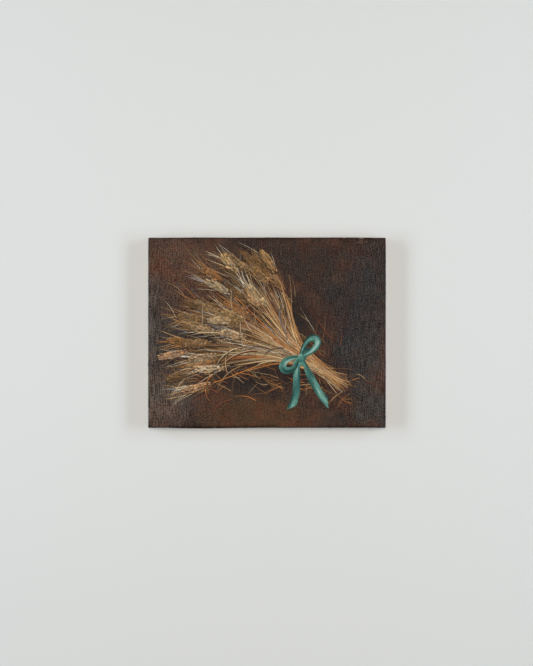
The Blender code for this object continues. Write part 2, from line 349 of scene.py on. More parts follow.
# The wall takes light and shadow, but keeps no light from the back of the painting.
wall.visible_shadow = wall.visible_diffuse = wall.visible_glossy = wall.visible_transmission = False
floorPaint = Nodes("floorPaint").surface(
    Base_Color=stage["floorColour"], Roughness=0.8, Specular_IOR_Level=0.1,
    Emission_Color=stage["floorPale"], Emission_Strength=stage["floorGlow"])
floorRim = heading(np.arange(0, 360, 5)) * stage["floorRadius"]
floor = stagePlane("floor", [(x, y, floorZ) for x, y in floorRim.tolist()], floorPaint)
floor.visible_diffuse = floor.visible_glossy = False  # it is far below, and throws no light up

sky = Nodes("studio", "worlds")
seen = sky.add("LightPath", output="Is Camera Ray")
strength = sky.ramp(seen, 0, 1, stage["worldStrength"], stage["backdropStrength"])
bpy.context.scene.world = sky.surface(Color=stage["world"], Strength=strength)

for name, ((across, up), away, size, watts, tint, glossy) in lamps.items():
    data = bpy.data.lights.new(name, "AREA")
    data.shape = "RECTANGLE"
    data.size, data.size_y = size
    data.energy = watts
    data.color = tint
    lamp = addObject(name, data)
    across, up = math.radians(across), math.radians(up)
    toward = np.array((math.sin(across) * math.cos(up), -math.cos(across) * math.cos(up), math.sin(up)))
    lamp.location = middle + toward * away
    lamp.rotation_euler = (math.pi / 2 - up, 0, across)
    lamp.visible_glossy = glossy
print("stage done")


# The painted canvas: one cloth, stretched over the bars, folded at the corners and turned over behind.
cloth = {
    "thickness": 0.5 * mm,
    "edgeRadius": 0.9 * mm,
    "flange": 22 * mm,
    "cell": 2.6 * mm,  # size of the front's grid
    "sag": 0.16 * mm,  # how unevenly the front lies
    "slack": 0.22 * mm,  # how far the cloth stands off the bars all round
    "topSlack": 0.64 * mm,  # more of it above
    "bottomBulge": (0.95 * mm, -66 * mm, 50 * mm),  # slack fold below: height, place, reach
    "rightBulge": (0.34 * mm, 50 * mm, 34 * mm),
    "ripple": 0.1 * mm,
    "ragged": 0.35 * mm,  # how unevenly the raw edge is cut
    "raggedWaves": (3.1 * mm, 2.7 * mm),  # on the upright and the level sides
    "pleatLift": 0.50 * mm,
    "pleatStart": 6 * mm,  # how far from the corner a pleat starts
    "secondLayer": 0.50 * mm,  # how high a second layer of cloth lies
    "foldLift": 0.95 * mm,  # how high it stands at its mitred fold
    "foldSpread": (6 * mm, 20 * mm),  # where it comes down, away from the fold
    "foldEnd": (34 * mm, 24 * mm),  # and where there is one layer
    "foldEdge": 0.2 * mm,  # how far the fold's round edge goes down
    "cornerSteps": 5,
    "flangeSteps": 14,
    "pressed": 0.10 * mm,  # how far a staple pulls the cloth in
    "grip": 2.4 * mm,  # how far round a staple
    "weave": 0.72 * mm,  # spacing of the threads
    "paintWrap": 20 * mm,  # how far round the sides the paint goes
}
stapleNames = [name for name in frame["nodes"] if name.startswith("staple_")]
staplePlaces = np.array([np.add(*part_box(name)) / 2 for name in stapleNames])
stapleSizes = np.array([np.subtract(*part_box(name)[::-1]) for name in stapleNames])


def held(at, half):
    # 1 over most of an edge, and 0 at its ends: 1 - (at / half)^8.
    return np.clip(1 - (at / half) ** 8, 0, 1)


def waviness(x, z):
    # Slow uneven dips of the stretched front: a sum of long waves that dies out at its edges.
    a, b = x / halfWide, z / halfHigh
    waves = np.sin(2.3 * a + 1.1 * b + 0.4) + 0.7 * np.sin(3.7 * b - 1.9 * a + 1.3)
    waves = waves + 0.5 * np.sin(5.1 * a + 0.8)
    return cloth["sag"] * held(x, halfWide) * held(z, halfHigh) * waves


def sideSlack(x, z, dirX, dirZ):
    # How far the cloth stands off the bars round the sides: even slack that closes at the corners,
    # bell-shaped slack below and at the right, and a ripple.
    def bell(at, height, place, reach):
        return height * np.exp(-((at - place) / reach) ** 2)

    level, upright = np.abs(dirZ), np.abs(dirX)
    below = bell(x, *cloth["bottomBulge"]) * np.clip(-dirZ, 0, 1)
    right = bell(z, *cloth["rightBulge"]) * np.clip(dirX, 0, 1) * (1 + 0.4 * np.sin(z / (1.9 * mm)))
    even = cloth["slack"] + cloth["topSlack"] * np.clip(dirZ, 0, 1)
    even = even * (held(x, halfWide) * level + held(z, halfHigh) * upright)
    ripple = np.sin(x / (13 * mm) + 1) * level + np.sin(z / (11 * mm)) * upright
    return below + right + even + cloth["ripple"] * ripple


def edgeProfile(radius, flat=7, steps=5):
    # Section from the front round to the back: a quarter circle, the flat side, another quarter circle.
    turn = np.linspace(0, math.pi / 2, steps)
    run = np.linspace(radius, depth - radius, flat)[1:-1]
    out = np.concatenate([radius * np.sin(turn), np.full(len(run), radius), radius * np.cos(turn)])
    down = np.concatenate([radius * (1 - np.cos(turn)), run, depth - radius * (1 - np.sin(turn))])
    faceOut = np.concatenate([np.sin(turn), np.ones(len(run)), np.cos(turn)])
    faceBack = np.concatenate([np.zeros(steps + len(run)), np.sin(turn)])
    travel = np.concatenate([[0], np.cumsum(np.hypot(np.diff(out), np.diff(down)))])
    return out, down, travel, faceOut, faceBack


def stapleGrip(x, z):
    # 1 under a staple's crown and fading round it, as a bell along and across each crown.
    grip = np.zeros_like(x)
    for place, size in zip(staplePlaces - middle, stapleSizes):
        reachX, reachZ = 0.45 * size[0] + cloth["grip"], 0.45 * size[2] + cloth["grip"]
        grip = np.maximum(grip, np.exp(-((x - place[0]) / reachX) ** 4 - ((z - place[2]) / reachZ) ** 4))
    return grip


def canvasPatches():
    # The cloth's outer face as grids: points, whether to flip, cloth UV, and a rectangle of the bake map.
    c, r = cloth, cloth["edgeRadius"]
    inW, inH = halfWide - r, halfHigh - r
    nx, nz = (int(round(2 * half / c["cell"])) + 1 for half in (inW, inH))
    xs, zs = np.linspace(-inW, inW, nx), np.linspace(-inH, inH, nz)
    out, down, travel, faceOut, faceBack = edgeProfile(r)
    turned = travel[-1]

    z, x = np.meshgrid(zs, xs, indexing="ij")
    points = np.stack([x, frontY + waviness(x, z), z], -1)
    yield points, False, np.stack([x, z], -1), (0.002, 0.205, 0.998, 0.998)

    # The band is swept once round the front, and turns through a fan of directions at each corner.
    fan = np.linspace(0, math.pi / 2, c["cornerSteps"] + 2)[1:-1]
    base, way = [], []
    for px, pz, start in ((xs, np.full(nx, -inH), -90), (np.full(nz, inW), zs, 0),
                          (xs[::-1], np.full(nx, inH), 90), (np.full(nz, -inW), zs[::-1], 180)):
        base += [np.stack([px, pz], 1), np.repeat([[px[-1], pz[-1]]], len(fan), 0)]
        way += [np.full(len(px), math.radians(start)), math.radians(start) + fan]
    base, way = np.concatenate(base), np.concatenate(way)
    base, way = np.append(base, base[:1], 0), np.append(way, way[:1])
    dirX, dirZ = np.cos(way), np.sin(way)
    slack = sideSlack(base[:, 0], base[:, 1], dirX, dirZ)
    reach = out + slack[:, None] * np.sin(math.pi * np.clip(down / depth, 0, 1)) ** 0.6
    points = np.stack([base[:, :1] + dirX[:, None] * reach, np.broadcast_to(frontY + down, reach.shape),
                       base[:, 1:] + dirZ[:, None] * reach], -1)
    uv = np.stack([base[:, :1] + dirX[:, None] * travel, base[:, 1:] + dirZ[:, None] * travel], -1)
    yield points, False, uv, (0.002, 0.168, 0.998, 0.200)

    # Upright strips on the back, then the level ones, whose mitred ends are folded over them.
    span = np.linspace(0, c["flange"] - r, c["flangeSteps"])
    share = np.concatenate([[-1], np.linspace(-1, 1, nx), [1]])
    halves = {-1: (0.002, 0.498), 1: (0.502, 0.998)}
    for sign, (left, right) in halves.items():
        z, v = np.meshgrid(zs, span, indexing="ij")
        ragged = c["ragged"] * np.sin(z / c["raggedWaves"][0]) * (v >= span[-1])
        x = sign * (inW - v - ragged)
        points = np.stack([x, backY - c["pressed"] * stapleGrip(x, z), z], -1)
        yield points, sign < 0, np.stack([sign * (inW + turned + v), z], -1), (left, 0.138, right, 0.163)
    for sign, (left, right) in halves.items():
        s, v = np.meshgrid(share, span, indexing="ij")
        edge = inW - v
        away = edge * (1 - np.abs(s))  # distance from the mitred fold
        lift = c["foldLift"] - (c["foldLift"] - c["secondLayer"]) * eased(*c["foldSpread"], away)
        lift = lift * eased(*c["foldEnd"], away) * eased(0, 2.5 * mm, v)
        x, z = s * edge, sign * (inH - v)
        grip = stapleGrip(x, z)
        lift = lift * (1 - grip) - c["pressed"] * grip
        lift[[0, -1]] = -c["foldEdge"]
        x[[0, -1]] += np.array([[-c["ragged"]], [c["ragged"]]])
        z = z - sign * c["ragged"] * np.sin(x / c["raggedWaves"][1]) * (v >= span[-1])
        points = np.stack([x, backY + lift, z], -1)
        yield points, sign > 0, np.stack([x, sign * (inH + turned + v)], -1), (left, 0.108, right, 0.133)

    # Pleats: an upright side's cloth goes round the corner and ends on the level side in a slanting fold.
    rise = c["pleatLift"] * eased(0.5 * mm, 6 * mm, down)
    up, turn = np.linspace(-c["pleatStart"], 0, 4), np.linspace(0, math.pi / 2, 6)
    over = np.linspace(0, 1, 9)
    corner = np.zeros((len(up) + len(turn) - 1, len(down)))
    bx = np.concatenate([corner, -over[1:, None] * down, [-down - c["ragged"]]])
    bz = np.concatenate([np.repeat(up[:, None], len(down), 1), np.zeros((len(bx) - len(up), len(down)))])
    way = np.concatenate([np.zeros(len(up)), turn[1:], np.full(len(over), math.pi / 2)])[:, None]
    lift = np.concatenate([np.linspace(0.03, 0.8, len(up)), np.ones(len(bx) - len(up) - 1), [-0.1]])
    raised = lift[:, None] * rise
    reach = out + raised * faceOut + 0.02 * mm
    for sx, sz, left in ((-1, -1, 0.502), (-1, 1, 0.752), (1, -1, 0.627), (1, 1, 0.877)):
        points = np.stack([sx * (inW + bx + np.cos(way) * reach), frontY + down + raised * faceBack,
                           sz * (inH + bz + np.sin(way) * reach)], -1)
        uv = np.stack([sx * (inW + bx + np.cos(way) * travel),
                       sz * (inH + bz + np.sin(way) * travel)], -1)
        yield points, sx * sz < 0, uv, (left, 0.060, left + 0.120, 0.103)


def shapeCanvas():
    # Joins the patches where they meet, then adds the inner face, one thickness in, and the rims.
    verts, faces, clothUv, bakeUv, pleat = [], [], [], [], []
    count = 0
    for index, (points, flip, uv, (u0, v0, u1, v1)) in enumerate(canvasPatches()):
        rows, columns = points.shape[:2]
        if index:  # every patch but the front runs lengthwise by rows
            u, v = np.meshgrid(np.linspace(u0, u1, rows), np.linspace(v0, v1, columns), indexing="ij")
        else:
            v, u = np.meshgrid(np.linspace(v0, v1, rows), np.linspace(u0, u1, columns), indexing="ij")
        verts.append(points.reshape(-1, 3))
        faces.append(gridFaces(rows, columns, flip) + count)
        clothUv.append(uv.reshape(-1, 2))
        bakeUv.append(np.stack([u, v], -1).reshape(-1, 2))
        pleat.append(np.full(rows * columns, index if index > 5 else 0))  # a pleat keeps its own points
        count += rows * columns
    verts, faces, pleat = np.concatenate(verts), np.concatenate(faces), np.concatenate(pleat)
    clothUv, bakeUv = np.concatenate(clothUv)[faces], np.concatenate(bakeUv)[faces]
    key = np.column_stack([np.round(verts / (0.01 * mm)), pleat]).astype(np.int64)
    _, first, same = np.unique(key, axis=0, return_index=True, return_inverse=True)
    verts, faces = verts[first], same.ravel()[faces]

    normal = np.zeros_like(verts)
    diagonals = np.cross(verts[faces[:, 2]] - verts[faces[:, 0]], verts[faces[:, 3]] - verts[faces[:, 1]])
    for corner in range(4):
        np.add.at(normal, faces[:, corner], diagonals)
    normal /= np.linalg.norm(normal, axis=1, keepdims=True)
    total = len(verts)
    ends = np.stack([faces, np.roll(faces, -1, 1)], -1)
    onward, backward = ends[..., 0] * total + ends[..., 1], ends[..., 1] * total + ends[..., 0]
    alone = ~np.isin(onward, backward)  # an edge with a face on one side only
    a, b = ends[alone][:, 0], ends[alone][:, 1]
    rims = np.stack([b, a, a + total, b + total], 1)
    rimCloth = np.repeat(clothUv[alone][:, None], 4, 1)
    rimAt = np.linspace(0.21, 0.995, len(rims))[:, None]
    rimU = rimAt + np.array([0, 1, 1, 0]) * 0.6 * (rimAt[1] - rimAt[0])
    rimBake = np.stack([rimU, np.broadcast_to([0.002, 0.002, 0.05, 0.05], rimU.shape)], -1)
    innerBake = bakeUv[:, ::-1] * [0.198, 0.100] + [0.002, 0.001]
    uvs = {
        "cloth": np.concatenate([clothUv, clothUv[:, ::-1], rimCloth]).reshape(-1, 2),
        "OFBake": np.concatenate([bakeUv, innerBake, rimBake]).reshape(-1, 2),
    }
    verts = np.concatenate([verts, verts - normal * cloth["thickness"]])
    outer = len(faces)
    faces = np.concatenate([faces, faces[:, ::-1] + total, rims])
    return verts, faces, uvs, (np.arange(len(faces)) >= outer).astype(np.int32)


# Colours of the ground, and the soft patches where each shows: place and reach (mm), colour, strength.
ground = {
    "umber": srgb(79, 52, 37),
    "dark": srgb(51, 38, 30),
    "patches": (
        ((-86, 70), (58, 44), (86, 58, 42), 0.85),
        ((-8, -88), (70, 26), (84, 56, 32), 0.90),
        ((98, -6), (44, 84), (42, 40, 40), 0.88),
        ((116, 62), (30, 36), (40, 38, 38), 0.85),
        ((-106, -8), (34, 36), (42, 39, 38), 0.90),
        ((-6, 2), (84, 58), (37, 27, 21), 0.85),
        ((70, 86), (64, 24), (58, 41, 32), 0.70),
        ((6, -50), (96, 18), (33, 24, 20), 0.80),
        ((122, -84), (30, 24), (52, 48, 45), 0.85),
    ),
    "scumbleGlint": srgb(124, 112, 100),  # grey-brown on the thread tops: partly a grey scumble, partly painted glints of light
    "scumbleGlintPatches": (
        ((-110, -68), (46, 42), 1.0),
        ((-112, 20), (30, 60), 0.30),
        ((112, -34), (34, 60), 0.28),
        ((112, 52), (24, 44), 0.12),
        ((-127, 0), (12, 104), 0.95),
        ((-84, 84), (50, 26), 0.20),
        ((112, -84), (20, 20), 0.30),
    ),
    "greyer": (0.82, 1.02, 1.14),
    "redder": (1.20, 0.93, 0.80),
    "rim": srgb(49, 26, 20),  # darker along the top, the bottom and the right edge, and on those sides
    "primer": srgb(226, 222, 210),
    "stained": srgb(206, 199, 182),
    "smear": srgb(120, 98, 78),
    "rawCloth": srgb(206, 192, 166),
    "seed": srgb(120, 92, 60),
}


def threads(n, place):
    # Plain weave: |sin| humps across each thread, and the sign of their product says which is on top.
    wander = n.wandering(place, 0.55 * mm, 240.0)
    x, z, _ = n.parts(n.mapped(wander, scale=(math.pi / cloth["weave"],) * 3))
    sinX, sinZ = n.math("SINE", x), n.math("SINE", z)
    humpX, humpZ = abs(sinX), abs(sinZ)
    return n.ramp(sinX * sinZ, -0.25, 0.25) * (humpX - humpZ) + humpZ


def groundPaint(n, place, weave):
    # Thin umber layers: patches with wandering edges, threads and crossings of uneven tone, flecks that
    # lean to red or grey, and grey on the thread tops that is partly a scumble, partly painted glints.
    wander = n.wandering(place, 46 * mm, 34.0, 4.0, 0.6)
    colour = n.mix(n.ramp(n.noise(wander, 22.0, 4.0, 0.6), 0.36, 0.64), ground["dark"], ground["umber"])

    def patch(spot, reach, strength):
        scale = (1 / (reach[0] * mm), 1 / (reach[1] * mm), 0)
        location = (-spot[0] / reach[0], -spot[1] / reach[1], 0)
        far = n.vector("LENGTH", n.mapped(wander, scale=scale, location=location))
        return n.ramp(far, 0.25, 1.15, strength, 0.0)

    for spot, reach, tint, strength in ground["patches"]:
        colour = n.mix(patch(spot, reach, strength), colour, srgb(*tint))
    warp, weft = n.noise(place, (1150, 75, 1), 1.0), n.noise(place, (75, 1150, 1), 1.0)
    fleck = n.noise(place, (820, 560, 1), 2.0, 0.6)
    cell = n.vector("FLOOR", n.mapped(place, scale=(1 / cloth["weave"],) * 3))
    crossing = n.add("TexWhiteNoise", {"Vector": cell}, noise_dimensions="2D")
    grain = warp * 1.9 + weft * 1.3 + fleck * 4.6 + crossing * 0.7 - 4.25
    grain = grain * n.ramp(n.noise(wander, 16.0), 0.38, 0.62, 0.6, 1.2)
    grain = grain * n.ramp(abs(n.parts(place)[0]), 40 * mm, 105 * mm, 0.85, 1.35)  # stronger at the sides
    light = n.noise(wander, (60, 150, 1), 3.0, 0.6, rotation=(0, 0, 0.5)) * 0.9 + grain + 0.58
    colour = n.shade(colour, n.math("MAXIMUM", light, 0.30))
    hue = n.noise(place, (640, 420, 1), 3.0, 0.6, location=(7, 3, 0))
    hue = n.noise(wander, (52, 34, 1), 4.0, 0.6, location=(3, 9, 0)) * 0.9 + hue
    colour = n.shade(colour, n.mix(n.ramp(hue, 0.81, 1.09), ground["greyer"], ground["redder"]))
    # Painted glints: the thread tops go grey-brown a little everywhere and more in these patches, partly
    # a grey scumble.
    scumbleGlint = patch(*ground["scumbleGlintPatches"][0])
    for more in ground["scumbleGlintPatches"][1:]:
        scumbleGlint = n.math("MAXIMUM", scumbleGlint, patch(*more))
    glintTops = weave * 0.35 + warp * 0.8 + fleck * 0.8
    return n.mix((scumbleGlint + 0.14) * n.ramp(glintTops, 0.92, 1.30), colour, ground["scumbleGlint"])


def paintedFinish():
    # Oil ground over white primer. It goes round the sides and stops in an uneven line, smeared beyond.
    n = Nodes("paintedCanvas")
    place = n.uvPlace("cloth")
    weave = threads(n, place)
    x, z, _ = n.parts(place)
    beyondZ = abs(z) - halfHigh
    beyond = n.math("MAXIMUM", abs(x) - halfWide, beyondZ)  # how far round the edge
    # Darker along the top, the bottom and the right edge, and on those three sides.
    rim = n.noise(place, (180, 180, 1), 3.0) * (2 * mm) + n.math("MAXIMUM", beyondZ, x - halfWide)
    rim = n.ramp(rim, -0.6 * mm, 0.6 * mm, 0.0, 0.8)
    painted = n.mix(rim, groundPaint(n, place, weave), ground["rim"])
    uneven = (n.noise(place, (70, 70, 1), 5.0, 0.65) - 0.5) * (22 * mm) + weave * (1.2 * mm)
    bare = n.ramp(beyond - uneven, cloth["paintWrap"] - 0.9 * mm, cloth["paintWrap"] + 0.9 * mm)
    smear = n.ramp(n.noise(place, (26, 44, 1), 4.0, 0.62), 0.60, 0.70, 0.0, 0.75)
    stain = n.mix(n.ramp(n.noise(place, 60.0, 4.0, 0.6), 0.35, 0.7), ground["primer"], ground["stained"])
    primer = n.mix(smear, stain, ground["smear"])
    # Thread tops along the arrises, where the paint is worn through to the primer.
    rub = n.ramp(abs(beyond - 0.1 * mm), 0.3 * mm, 1.1 * mm, 1.0, 0.0)
    worn = n.ramp(n.noise(place, (95, 95, 1), 4.0, 0.7, location=(4, 1, 0)), 0.57, 0.66)
    worn = rub * worn * n.ramp(weave, 0.45, 0.80, 0.0, 0.6)
    height = n.noise(place, (620, 60, 1)) * 0.7 + weave
    return n.surface(Base_Color=n.mix(n.math("MAXIMUM", bare, worn), painted, primer),
                     Roughness=n.ramp(n.noise(place, 420.0, 3.0), 0.3, 0.7, 0.42, 0.56),
                     Specular_IOR_Level=0.22, Normal=n.bump(height, 0.12 * mm, 0.8))


def rawClothFinish():
    # Unprimed cotton: the weave's gaps are darker, with slubs and a few seed flecks.
    n = Nodes("rawCloth")
    place = n.uvPlace("cloth")
    weave = threads(n, place)
    slub, cross = n.noise(place, (620, 60, 1), 3.0), n.noise(place, (60, 620, 1), 3.0)
    light = (weave * 0.34 + slub * 0.45 + cross * 0.45) * 0.8 + 0.42
    seeds = n.ramp(n.noise(place, (900, 420, 1), 1.0), 0.74, 0.80, 0.0, 0.6)
    colour = n.mix(seeds, n.shade(ground["rawCloth"], light), ground["seed"])
    return n.surface(Base_Color=colour, Roughness=0.92, Specular_IOR_Level=0.2,
                     Normal=n.bump(slub * 0.5 + weave, 0.16 * mm, 0.9))


verts, faces, uvs, raw = shapeCanvas()
canvasCloth = addPiece("canvasCloth", verts, faces, uvs, {}, paintedFinish(), rawClothFinish())
canvasCloth.data.polygons.foreach_set("material_index", raw)
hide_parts("canvas")
print("canvas done,", len(faces), "faces")

# Frayed ends of thread along the raw edges of the turned-over cloth.
fringe = {
    "long": (0.8, 3.4),  # mm
    "turn": 14,  # how unevenly the ends point, degrees
    "bend": 38,
    "strays": 46,  # longer ends
    "strayLong": (5, 13),
    "strayTurn": (35, 75),
    "rooted": 0.6,  # length under the cloth
    "taper": 0.45,
    "radius": 0.13 * mm,
    "sides": 5,
    "steps": 6,
    "colour": srgb(214, 202, 178),
}


def fringeThreads():
    # Tubes along bent lines in the cloth's plane, which rise off it a little: y = root + a t + b t^2.
    rng = np.random.default_rng(7)
    edgeX, edgeZ = (halfWide - cloth["flange"]) / mm, (halfHigh - cloth["flange"]) / mm
    starts, angles = [], []
    sides = ((-90, edgeZ, edgeX), (90, edgeZ, edgeX), (180, edgeX, edgeZ), (0, edgeX, edgeZ))
    for inward, far, length in sides:
        run = np.arange(2 - length, length - 2, cloth["weave"] / mm)
        run = run + rng.normal(0, 0.12, len(run))
        root = heading(inward) * (far + fringe["rooted"])
        starts.append(np.abs(heading(inward + 90)) * run[:, None] - root)
        angles.append(np.full(len(run), float(inward)))
    starts, angles = np.concatenate(starts), np.concatenate(angles)
    strays = fringe["strays"]
    stray = rng.choice(len(starts), strays)
    starts, angles = np.concatenate([starts, starts[stray]]), np.concatenate([angles, angles[stray]])
    count = len(starts)
    lengths = rng.uniform(*fringe["long"], count) + fringe["rooted"]
    lengths[-strays:] = rng.uniform(*fringe["strayLong"], strays)
    turn = rng.normal(0, fringe["turn"], count)
    turn[-strays:] += rng.choice([-1, 1], strays) * rng.uniform(*fringe["strayTurn"], strays)
    t = np.linspace(0, 1, fringe["steps"])
    flat = along(bent(starts, angles + turn, lengths, rng.normal(0, fringe["bend"], count)), t) * mm
    rise = rng.uniform(0.0, 0.25, count)[:, None] * t + rng.uniform(-0.1, 0.7, count)[:, None] * t ** 2
    centre = np.stack([flat[..., 0], backY + (rise - 0.22) * mm, flat[..., 1]], -1)
    side = np.insert(leftOf(flat), 1, 0, -1)
    radius = fringe["radius"] * rng.uniform(0.8, 1.25, count)[:, None] * (1 - fringe["taper"] * t)
    u = np.linspace(0, 1, fringe["sides"] + 1)
    cos, sin = np.cos(2 * math.pi * u)[:, None], np.sin(2 * math.pi * u)[:, None]
    ring = side[:, :, None] * cos + np.array([0, 1, 0]) * sin
    twist = t[:, None] * lengths[:, None, None] + 1.7 * np.arange(count)[:, None, None]
    return {
        "points": centre[:, :, None] + ring * radius[..., None, None],
        "thread": np.stack(np.broadcast_arrays(u, twist), -1),
        "OFBake": bakeCells(count, t, u, 0.05),
    }


def threadFinish():
    # Twisted cotton: slanting turns along each thread, painted lighter and darker as painted shade and
    # highlight.
    n = Nodes("threadEnds")
    place = n.uvPlace("thread")
    across, run, _ = n.parts(place)
    twist = n.math("SINE", (run * 1.6 + across) * (2 * math.pi))
    # Painted shade and highlight: the colour goes lighter and darker with the twist's turns.
    light = twist * 0.09 + n.noise(place, (0.5, 0.9, 1)) * 0.5 + 0.72
    return n.surface(Base_Color=n.shade(fringe["colour"], light), Roughness=0.9, Specular_IOR_Level=0.2,
                     Normal=n.bump(twist, 0.03 * mm, 0.6))


canvasFringe = gridPiece("canvasFringe", [fringeThreads()], threadFinish(), 1.9)

# Bare wood and plated steel, on the frame's own parts.
pine = {
    "pale": srgb(226, 196, 150),
    "late": srgb(186, 138, 88),
    "pore": srgb(150, 104, 62),
    "ring": 3.6 * mm,  # between one year's line and the next
    "wander": 9 * mm,
    "knots": {"stretcher_bar_bottom": (58, -86), "stretcher_bar_left": (-106, 31)},  # places, mm
    "knotReach": (5.2, 3.6),
    "knotHalo": srgb(176, 118, 66),
    "knotCore": srgb(112, 66, 36),
}
beech = {
    "wood": srgb(204, 160, 116),
    "fleck": srgb(138, 92, 58),
}
steels = {
    # name: colour, scratch scale, roughness, dulled colour
    "zincSteel": ((0.47, 0.47, 0.46), 60, 0.42, (0.34, 0.34, 0.33)),
    "stapleWire": ((0.56, 0.55, 0.53), 160, 0.30, (0.36, 0.35, 0.33)),
}
tarnish = srgb(104, 90, 76)


def alongBar(n, level, **mapping):
    # Object coordinates with the grain along X.
    return n.mapped(n.objectPlace(**mapping), rotation=(0, 0 if level else math.pi / 2, 0))


def pineFinish(bar, level, offset):
    # Year lines: a sine of the distance across the grain, bent by slow noise, with fine fibres along it.
    n = Nodes("pine_" + bar.rsplit("_", 1)[1])
    place = alongBar(n, level, location=(offset * 0.37, offset * 0.11, offset * 0.23))
    _, y, z = n.parts(place)
    across = n.noise(place, (5, 30, 30)) * (2 * pine["wander"]) + y * 0.55 + z
    late = n.ramp(n.math("SINE", across * (2 * math.pi / pine["ring"])), -0.2, 1.0)
    fibre = n.noise(place, (22, 2200, 2200), 3.0, 0.6)
    blotch = n.noise(place, (9, 34, 34), 3.0)
    colour = n.mix(late * n.ramp(blotch, 0.25, 0.75, 0.35, 0.95), pine["pale"], pine["late"])
    colour = n.shade(colour, fibre * 0.42 + blotch * 0.30 + 0.62)
    pores = n.ramp(n.noise(place, (60, 1500, 1500), 1.0), 0.70, 0.78, 0.0, 0.5)
    colour = n.mix(pores, colour, pine["pore"])
    if bar in pine["knots"]:
        x, z = np.array(pine["knots"][bar]) * mm + middle[[0, 2]]
        reachX, reachZ = np.array(pine["knotReach"]) * mm
        near = n.objectPlace(scale=(1 / reachX, 0, 1 / reachZ), location=(-x / reachX, 0, -z / reachZ))
        far = n.vector("LENGTH", n.wandering(near, 0.5, 0.9, 3.0))
        colour = n.mix(n.ramp(far, 0.9, 1.9, 0.75, 0.0), colour, pine["knotHalo"])
        core = n.shade(pine["knotCore"], n.math("SINE", far * 26.0) * 0.16 + 0.84)
        colour = n.mix(n.ramp(far, 0.75, 0.98, 1.0, 0.0), colour, core)
    return n.surface(Base_Color=colour, Roughness=n.ramp(fibre, 0.2, 0.8, 0.62, 0.78),
                     Specular_IOR_Level=0.3, Normal=n.bump(late * 0.5 + fibre, 0.05 * mm, 0.7))


def beechFinish(level):
    # Fine straight grain with short dark ray flecks along it.
    n = Nodes("beech_level" if level else "beech_upright")
    place = alongBar(n, level)
    grain = n.noise(place, (30, 900, 900), 3.0, 0.6)
    flecks = n.ramp(n.noise(place, (420, 2600, 2600), 1.0), 0.62, 0.70, 0.0, 0.75)
    colour = n.mix(flecks, n.shade(beech["wood"], grain * 0.7 + 0.62), beech["fleck"])
    return n.surface(Base_Color=colour, Roughness=0.66, Specular_IOR_Level=0.3,
                     Normal=n.bump(grain, 0.05 * mm, 0.6))


def steelFinish(name):
    # Plated steel: crossed fine scratches, cloudy dulling and specks of tarnish.
    n = Nodes(name)
    tint, scale, roughness, dull = steels[name]
    place = n.objectPlace()
    scratch = n.noise(place, (scale, 300, scale * 18), 2.0, 0.6, rotation=(0, 0.35, 0))
    other = n.noise(place, (scale * 14, 300, scale), 2.0, 0.6, rotation=(0, -0.5, 0))
    cloud = n.noise(place, 260.0, 4.0, 0.6)
    marks = scratch * 0.5 + other * 0.5
    colour = n.mix(n.ramp(cloud, 0.45, 0.72, 0.0, 0.55), tint, dull)
    colour = n.mix(n.ramp(n.noise(place, 1500.0), 0.68, 0.76, 0.0, 0.6), colour, tarnish)
    rough = marks * 0.30 + cloud * 0.22 + (roughness - 0.26)
    return n.surface(Base_Color=colour, Metallic=1.0, Roughness=rough,
                     Normal=n.bump(marks, 0.02 * mm, 0.6))


keyFinishes = {level: beechFinish(level) for level in (False, True)}
steelFinishes = {name: steelFinish(name) for name in steels}
for number, nodeName in enumerate(sorted(frame["nodes"])):
    if nodeName.startswith("stretcher_bar"):
        finish = pineFinish(nodeName, nodeName.endswith(("top", "bottom")), number)
    elif nodeName.startswith("corner_key"):
        finish = keyFinishes[nodeName.endswith("level")]
    elif nodeName != "canvas":
        finish = steelFinishes["stapleWire" if nodeName.startswith("staple") else "zincSteel"]
    else:
        continue
    for slot in bpy.data.objects[nodeName].material_slots:
        slot.material = finish
print("back done")


# Paint: each stroke is a low ridge along a curve, and a sheaf of grain with a ribbon is built from them.
paints = {
    "black": (26, 20, 17), "umber": (66, 46, 34), "brown": (104, 74, 48), "rust": (142, 80, 46),
    "ochre": (160, 118, 68), "orange": (188, 122, 60), "straw": (196, 164, 116), "cream": (222, 206, 174),
    "white": (222, 214, 197), "greyBlue": (128, 134, 136), "slate": (80, 84, 88),
    "tealDark": (33, 62, 57), "teal": (68, 124, 112), "tealLight": (118, 170, 153),
    "tealPale": (184, 212, 196),
}
paints = {name: np.array(srgb(*value)) for name, value in paints.items()}
relief = {
    "sunk": 0.05,  # how far a stroke's rim lies under the cloth's face, mm
    "order": 0.03,  # how much higher the last stroke of a group lies than its first, mm
    "across": {3: (-1, 0, 1), 5: (-1, -0.80, 0, 0.80, 1)},  # where its points lie across a stroke
    "within": (124, 98.5),  # a stroke that runs further from the middle is left out, mm
}
